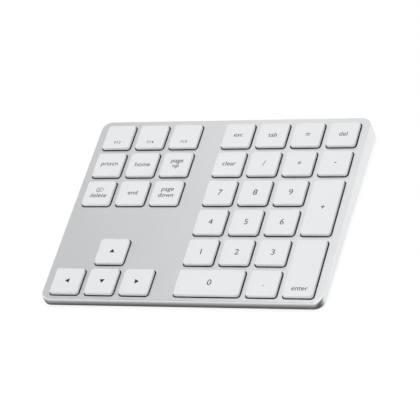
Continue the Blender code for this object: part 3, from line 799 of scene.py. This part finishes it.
def make_feet():
    for node in sorted(n for n in NODES if n.startswith("rubber_foot")):
        low, high = desk_box(node)
        radius = (high.x - low.x) / 2
        profile = [(radius * FOOT_HOLLOW[0], low.z + 0.06), (radius * FOOT_HOLLOW[1], low.z)]
        for cosine, sine in quarter_turn(5):
            profile.append((radius - FOOT_EDGE * (1 - sine), low.z + FOOT_EDGE * (1 - cosine)))
        profile.append((radius, high.z))
        bm = bmesh.new()
        add_turned(bm, profile, 48, centre_of(low, high))
        foot = new_piece(node + "_pad", bm, FOOT_RUBBER, BASE, DESK)
        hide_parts(node)


def cross_recess(x, y, z):
    """A cross-shaped cutter, tapered to the bottom of the recess."""
    bm = bmesh.new()
    for turned in (False, True):
        rings = []
        for level, share in ((z - 0.3, 1.15), (z + 0.35, 0.55)):
            a, b = RECESS_REACH * share, RECESS_HALF_WIDTH
            if turned:
                a, b = b, a
            outline = [(x - a, y - b), (x + a, y - b), (x + a, y + b), (x - a, y + b)]
            rings.append(level_ring(outline, level))
        loft(bm, rings)
    return object_from("recess", bm)


def screw_profile(low, high):
    """A countersunk head at the bottom, then ridges in place of a thread, up to the tip: radius, z."""
    profile = [(SCREW_HEAD_RADIUS - SCREW_HEAD_EDGE, low), (SCREW_HEAD_RADIUS, low + SCREW_HEAD_EDGE)]
    profile += [(0.62, low + 0.55), (THREAD_RADIUS, low + 0.7)]
    z = low + 0.8
    while z + THREAD_PITCH < high - 0.1:
        profile += [(THREAD_CORE, z), (THREAD_RADIUS, z + THREAD_PITCH / 2)]
        z += THREAD_PITCH
    return profile + [(THREAD_CORE, high - 0.1), (0.35, high)]


def cut_recess(screw, cutter):
    """Cuts with an object whose own parts overlap each other, and removes it."""
    modifier = screw.modifiers.new("cut", "BOOLEAN")
    modifier.operation = "DIFFERENCE"
    modifier.solver = "EXACT"
    modifier.use_self = True
    modifier.object = cutter
    bpy.context.view_layer.update()
    graph = bpy.context.evaluated_depsgraph_get()
    mesh = bpy.data.meshes.new_from_object(screw.evaluated_get(graph))
    screw.modifiers.clear()
    screw.data = mesh
    shade(screw, 30)
    bpy.data.objects.remove(cutter, do_unlink=True)


def make_screws():
    for node, x, y, low, high in screw_places("cover_screw"):
        bm = bmesh.new()
        add_turned(bm, screw_profile(low, high), 32, (x, y))
        screw = new_piece(node + "_steel", bm, SCREW_STEEL, BASE)
        cut_recess(screw, cross_recess(x, y, low))
        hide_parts(node)


TONGUE_HALF_WIDTH = 3.35
TONGUE_HALF_HEIGHT = 0.35
CONTACT_COUNT = 12
CONTACT_PITCH = 0.5
CONTACT_WIDTH = 0.25
CONTACT_HALF_THICKNESS = 0.02


def make_port():
    """The USB-C socket: rolled steel shell, contact tongue and gold contacts."""
    low, high = desk_box("usb_c_port")
    width, height = high.x - low.x, high.z - low.z
    x, z = (low.x + high.x) / 2, (low.z + high.z) / 2
    back, mouth = low.y, high.y

    def ring(inset, y):
        radius = (height / 2 - 0.02) - inset
        outline = rounded_outline(width - 2 * inset, height - 2 * inset, radius, 12)
        return [Vector((x + u, y, z + v)) for u, v in outline]

    bm = bmesh.new()
    rings = [ring(0.30, back + 1.2), ring(0.30, mouth - 0.08), ring(0.22, mouth)]
    rings += [ring(0.06, mouth), ring(0.0, mouth - 0.07), ring(0.0, back)]
    loft(bm, rings)
    port = new_piece("usb_c_shell", bm, PORT_STEEL, BASE, DESK)
    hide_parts("usb_c_port")
    make_tongue(x, z, back, mouth)
    make_contacts(x, z, mouth)


def make_tongue(x, z, back, mouth):
    bm = bmesh.new()
    low = (x - TONGUE_HALF_WIDTH, back + 1.25, z - TONGUE_HALF_HEIGHT)
    high = (x + TONGUE_HALF_WIDTH, mouth - 1.1, z + TONGUE_HALF_HEIGHT)
    soft_block(bm, low, high, 0.3, 0.1)
    black = moulded_plastic("tongue_plastic", (0.03, 0.03, 0.032), 0.4)
    new_piece("usb_c_tongue", bm, black, BASE, DESK)


def make_contacts(x, z, mouth):
    """A row of contacts on each face of the tongue."""
    bm = bmesh.new()
    half = CONTACT_HALF_THICKNESS
    for i in range(CONTACT_COUNT):
        left = x + CONTACT_PITCH * (i - (CONTACT_COUNT - 1) / 2) - CONTACT_WIDTH / 2
        for side in (-1, 1):
            face = z + side * (TONGUE_HALF_HEIGHT + 0.01)
            add_box(bm, (left, mouth - 4.6, face - half), (left + CONTACT_WIDTH, mouth - 1.5, face + half))
    gold = brushed_metal("contact_gold", (0.85, 0.62, 0.28), 0.25, "y")
    new_piece("usb_c_contacts", bm, gold, BASE, DESK)


KNOB_EDGE = ((0.12, 0.0), (0.03, 0.04), (0.0, 0.12))  # distance in from the knob's face, inset
KNOB_ROUND = 0.35
GROOVE_PITCH = 0.55
GROOVE_HALF_WIDTH = 0.11
GROOVE_DEPTH = 0.14


def make_switch():
    """The sliding knob, with grooves for the fingertip."""
    low, high = desk_box("power_switch_slider")
    width, height = high.x - low.x, high.z - low.z
    x, z = (low.x + high.x) / 2, (low.z + high.z) / 2
    rings = []
    for y, inset in [(low.y, 0.0)] + [(high.y - depth, inset) for depth, inset in KNOB_EDGE]:
        outline = rounded_outline(width - 2 * inset, height - 2 * inset, KNOB_ROUND - inset, 6)
        rings.append([Vector((x + u, y, z + v)) for u, v in outline])
    bm = bmesh.new()
    loft(bm, rings)
    white = moulded_plastic("switch_knob", (0.72, 0.72, 0.73), 0.45)
    knob = new_piece("switch_knob_cap", bm, white, "power_switch_knob", DESK)
    grooves = bmesh.new()
    floor = high.y - GROOVE_DEPTH
    for i in (-1, 0, 1):
        middle = x + i * GROOVE_PITCH
        left, right = middle - GROOVE_HALF_WIDTH, middle + GROOVE_HALF_WIDTH
        add_box(grooves, (left, floor, z - 1), (right, high.y + 1, z + 1))
    combine(knob, ("DIFFERENCE", object_from("grooves", grooves, DESK)))
    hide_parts("power_switch_slider")


# ---------------------------------------------------------------- parts that keep their CAD shape


def circuit_board():
    """Green solder mask over copper tracks."""
    m = Material("circuit_board", (0.02, 0.13, 0.06), 0.35)
    m.vary_colour(m.noise(350, 1.0, (1.0, 0.12, 1.0)), 0.35)
    m.vary_roughness(m.noise(500, 2.0), 0.08)
    m.bump(m.noise(350, 1.0, (0.12, 1.0, 1.0)), 0.03, 0.5)
    return m.material


def membrane_film():
    m = Material("membrane_film", (0.62, 0.66, 0.65), 0.30)
    m.vary_colour(m.noise(260, 1.0, (0.1, 1.0, 1.0)), 0.15)
    m.vary_roughness(m.noise(400, 2.0), 0.06)
    m.bump(m.noise(260, 1.0, (0.1, 1.0, 1.0)), 0.01, 0.5)
    return m.material


def pouch_foil():
    m = Material("battery_pouch", (0.52, 0.53, 0.55), 0.36, 0.7)
    m.vary_colour(m.noise(90, 3.0), 0.05)
    m.vary_roughness(m.noise(300, 3.0), 0.08)
    m.bump(m.noise(60, 3.0), 0.15, 0.5)
    return m.material


BEVELLED = ("main_pcb", "wireless_module", "battery", "power_switch_body", "bottom_cover")
BEVEL_WIDTH = 0.12


def finish_cad_nodes():
    """Materials for the nodes that keep their CAD shape, and broken edges for the boxy ones."""
    finishes = {
        "key_backplate": PLATE_STEEL,
        "membrane_circuit": membrane_film(),
        "main_pcb": circuit_board(),
        "wireless_module": brushed_metal("shield_can", (0.55, 0.56, 0.57), 0.30),
        "battery": pouch_foil(),
        "battery_lead": rubber("lead_sleeve", (0.30, 0.02, 0.02), 0.5),
        "flex_cable": moulded_plastic("flex_film", (0.50, 0.30, 0.08), 0.35, 1500),
        "power_switch_body": moulded_plastic("switch_body", (0.03, 0.03, 0.03), 0.45),
        "bottom_cover": COVER_PLASTIC,
    }
    for node in NODES:
        if node.startswith("stabiliser_wire"):
            finishes[node] = SPRING_STEEL
        if node.startswith("plate_screw"):
            finishes[node] = SCREW_STEEL
    for node, material in finishes.items():
        NODES[node].data.materials.clear()
        NODES[node].data.materials.append(material)
        shade(NODES[node], 30)
    for node in BEVELLED:
        bevel = NODES[node].modifiers.new("edges", "BEVEL")
        bevel.width = BEVEL_WIDTH * MM
        bevel.segments = 2
        bevel.limit_method = "ANGLE"
        bevel.angle_limit = math.radians(40)


# ---------------------------------------------------------------- floor, light and camera


def stage_plane(name, low, high, height):
    """A level rectangle that faces up, for the stage: it rides on no body of the keypad."""
    bm = bmesh.new()
    outline = ((low[0], low[1]), (high[0], low[1]), (high[0], high[1]), (low[0], high[1]))
    bm.faces.new([bm.verts.new((x * MM, y * MM, height * MM)) for x, y in outline])
    mesh = bpy.data.meshes.new(name)
    bm.to_mesh(mesh)
    bm.free()
    obj = bpy.data.objects.new(name, mesh)
    bpy.context.scene.collection.objects.link(obj)
    return obj


FLOOR_SIZE = 2500
FLOOR_GLOW = 0.83
FLOOR_COLOUR = 0.2


def make_floor():
    """A plain white floor, seen from above only, that throws no light of its own onto the keypad."""
    floor = stage_plane("floor", (-FLOOR_SIZE, -FLOOR_SIZE), (FLOOR_SIZE, FLOOR_SIZE), 0)
    material = bpy.data.materials.new("floor_white")
    material.use_nodes = True
    tree = material.node_tree
    shader = tree.nodes["Principled BSDF"]
    shader.inputs["Base Color"].default_value = (FLOOR_COLOUR, FLOOR_COLOUR, FLOOR_COLOUR, 1)
    shader.inputs["Roughness"].default_value = 0.9
    shader.inputs["Specular IOR Level"].default_value = 0.0
    shader.inputs["Emission Color"].default_value = (1, 1, 1, 1)
    shader.inputs["Emission Strength"].default_value = FLOOR_GLOW
    mix = tree.nodes.new("ShaderNodeMixShader")
    tree.links.new(tree.nodes.new("ShaderNodeNewGeometry").outputs["Backfacing"], mix.inputs["Fac"])
    tree.links.new(shader.outputs["BSDF"], mix.inputs[1])
    tree.links.new(tree.nodes.new("ShaderNodeBsdfTransparent").outputs["BSDF"], mix.inputs[2])
    tree.links.new(mix.outputs["Shader"], tree.nodes["Material Output"].inputs["Surface"])
    floor.data.materials.append(material)
    floor.visible_diffuse = False
    floor.visible_glossy = False


# painted shade: a hidden glowing strip, dark close to the case, that the case's front reflects as a dark
# band
SHADE_NEAR = 1.2  # black up to this distance in front of the case ...
SHADE_FAR = 3.6  # ... and at its lightest from here on
SHADE_REACH = 9.0
SHADE_LEVEL = 0.22
SHADE_DEPTH = 0.2
SHADE_LEFT_INSET = 3
SHADE_RIGHT_INSET = 8
SHADE_TUCK = 3  # how far the strip goes under the case


def make_front_shade():
    """A glowing strip below the floor that the camera never sees: dark close to the case, lighter further
    out. The case's front reflects it as a painted shade along its bottom edge, and further out the strip
    glows faintly though it is no lamp.
    """
    low, high = desk_box("top_case")
    start = (low.x + SHADE_LEFT_INSET, low.y - SHADE_REACH)
    end = (high.x - SHADE_RIGHT_INSET, low.y + SHADE_TUCK)
    strip = stage_plane("front_shade", start, end, -SHADE_DEPTH)
    material = bpy.data.materials.new("front_shade")
    material.use_nodes = True
    tree = material.node_tree
    tree.nodes.remove(tree.nodes["Principled BSDF"])
    split = tree.nodes.new("ShaderNodeSeparateXYZ")
    tree.links.new(tree.nodes.new("ShaderNodeTexCoord").outputs["Object"], split.inputs["Vector"])
    ramp = tree.nodes.new("ShaderNodeMapRange")
    ramp.inputs["From Min"].default_value = (low.y - SHADE_NEAR) * MM
    ramp.inputs["From Max"].default_value = (low.y - SHADE_FAR) * MM
    ramp.inputs["To Max"].default_value = SHADE_LEVEL
    tree.links.new(split.outputs["Y"], ramp.inputs["Value"])
    glow = tree.nodes.new("ShaderNodeEmission")
    tree.links.new(ramp.outputs["Result"], glow.inputs["Strength"])
    tree.links.new(glow.outputs["Emission"], tree.nodes["Material Output"].inputs["Surface"])
    strip.data.materials.append(material)
    strip.visible_camera = False
    strip.visible_shadow = False


def add_light(name, place, size, power):
    """An area light at a place in the deck frame, aimed at the middle of the deck."""
    data = bpy.data.lights.new(name, "AREA")
    data.shape = "RECTANGLE"
    data.size = size[0] * MM
    data.size_y = size[1] * MM
    data.energy = power
    light = bpy.data.objects.new(name, data)
    bpy.context.scene.collection.objects.link(light)
    start = DECK @ (Vector(place) * MM)
    turn = (start - DECK.translation).to_track_quat("Z", "Y")
    light.matrix_world = Matrix.Translation(start) @ turn.to_matrix().to_4x4()


SOFT_LOBES = (
    # what: azimuth from the back towards the right, elevation, strength
    ("back", 0, 50, 0.65),
    ("low_back_right", 45, 12, 1.57),
    ("low_front", 180, 12, 1.35),
    ("low_front_left", 225, 12, 0.87),
    ("low_left", 270, 12, 1.18),
    ("floor_back_right", 34, -45, 1.58),
)
LOBE_FALLOFF = 5.0


def deck_direction(azimuth, elevation):
    a, e = math.radians(azimuth), math.radians(elevation)
    local = Vector((math.sin(a) * math.cos(e), math.cos(a) * math.cos(e), math.sin(e)))
    return (DECK.to_3x3() @ local).normalized()


def make_world():
    """A white studio for the camera, and soft lobes of light of different strengths for the keypad."""
    world = bpy.data.worlds.new("studio")
    bpy.context.scene.world = world
    world.use_nodes = True
    tree = world.node_tree
    tree.nodes.clear()
    coordinates = tree.nodes.new("ShaderNodeTexCoord").outputs["Generated"]

    def maths(operation, *values):
        node = tree.nodes.new("ShaderNodeMath")
        node.operation = operation
        for socket, value in zip(node.inputs, values):
            if isinstance(value, float):
                socket.default_value = value
            else:
                tree.links.new(value, socket)
        return node.outputs["Value"]

    total = None
    for _, azimuth, elevation, strength in SOFT_LOBES:
        dot = tree.nodes.new("ShaderNodeVectorMath")
        dot.operation = "DOT_PRODUCT"
        dot.inputs[1].default_value = deck_direction(azimuth, elevation)
        tree.links.new(coordinates, dot.inputs[0])
        lobe = maths("POWER", maths("MAXIMUM", dot.outputs["Value"], 0.0), LOBE_FALLOFF)
        lobe = maths("MULTIPLY", lobe, strength)
        total = lobe if total is None else maths("ADD", total, lobe)
    studio = tree.nodes.new("ShaderNodeBackground")
    tree.links.new(total, studio.inputs["Strength"])
    seen = tree.nodes.new("ShaderNodeBackground")
    seen.inputs["Strength"].default_value = 1.0
    path = tree.nodes.new("ShaderNodeLightPath")
    mix = tree.nodes.new("ShaderNodeMixShader")
    tree.links.new(path.outputs["Is Camera Ray"], mix.inputs["Fac"])
    tree.links.new(studio.outputs["Background"], mix.inputs[1])
    tree.links.new(seen.outputs["Background"], mix.inputs[2])
    output = tree.nodes.new("ShaderNodeOutputWorld")
    tree.links.new(mix.outputs["Shader"], output.inputs["Surface"])


CAMERA_TARGET = (2.12, -1.12, 0.0)
CAMERA_DISTANCE = 1118.3
CAMERA_AZIMUTH = math.radians(33.743)
CAMERA_ELEVATION = math.radians(45.244)
CAMERA_ROLL = math.radians(-25.396)
CAMERA_LENS = 191.18


def make_camera():
    """The camera looks down from the right front, turned about its own line of sight."""
    flat = math.cos(CAMERA_ELEVATION)
    cosine, sine = math.cos(CAMERA_AZIMUTH), math.sin(CAMERA_AZIMUTH)
    back = Vector((sine * flat, -cosine * flat, math.sin(CAMERA_ELEVATION)))
    level = Vector((cosine, sine, 0))
    upright = back.cross(level)
    right = math.cos(CAMERA_ROLL) * level + math.sin(CAMERA_ROLL) * upright
    up = back.cross(right)
    turn = Matrix((right, up, back)).transposed().to_4x4()
    place = (Vector(CAMERA_TARGET) + back * CAMERA_DISTANCE) * MM
    data = bpy.data.cameras.new("camera")
    data.lens = CAMERA_LENS
    data.sensor_width = 36.0
    data.clip_start = 0.01
    camera = bpy.data.objects.new("camera", data)
    bpy.context.scene.collection.objects.link(camera)
    camera.matrix_world = DECK @ Matrix.Translation(place) @ turn
    bpy.context.scene.camera = camera


SOFTBOXES = (
    # what: place in the deck frame, width and height, power in watts
    ("top", (60, 60, 450), (250, 250), 0.68),
    ("front_right", (300, -350, 300), (700, 500), 1.1),
    ("left", (-420, 0, 200), (300, 300), 0.43),
    ("back_left", (-200, 300, 300), (300, 300), 0.107),
    ("back", (0, 380, 260), (400, 200), 0.144),
)


def make_lights():
    for name, place, size, power in SOFTBOXES:
        add_light("softbox_" + name, place, size, power)


bpy.context.scene.view_settings.view_transform = "Standard"
make_camera()
make_case()
make_keys()
make_mechanism()
make_feet()
make_screws()
make_port()
make_switch()
finish_cad_nodes()
make_floor()
make_front_shade()
make_world()
make_lights()
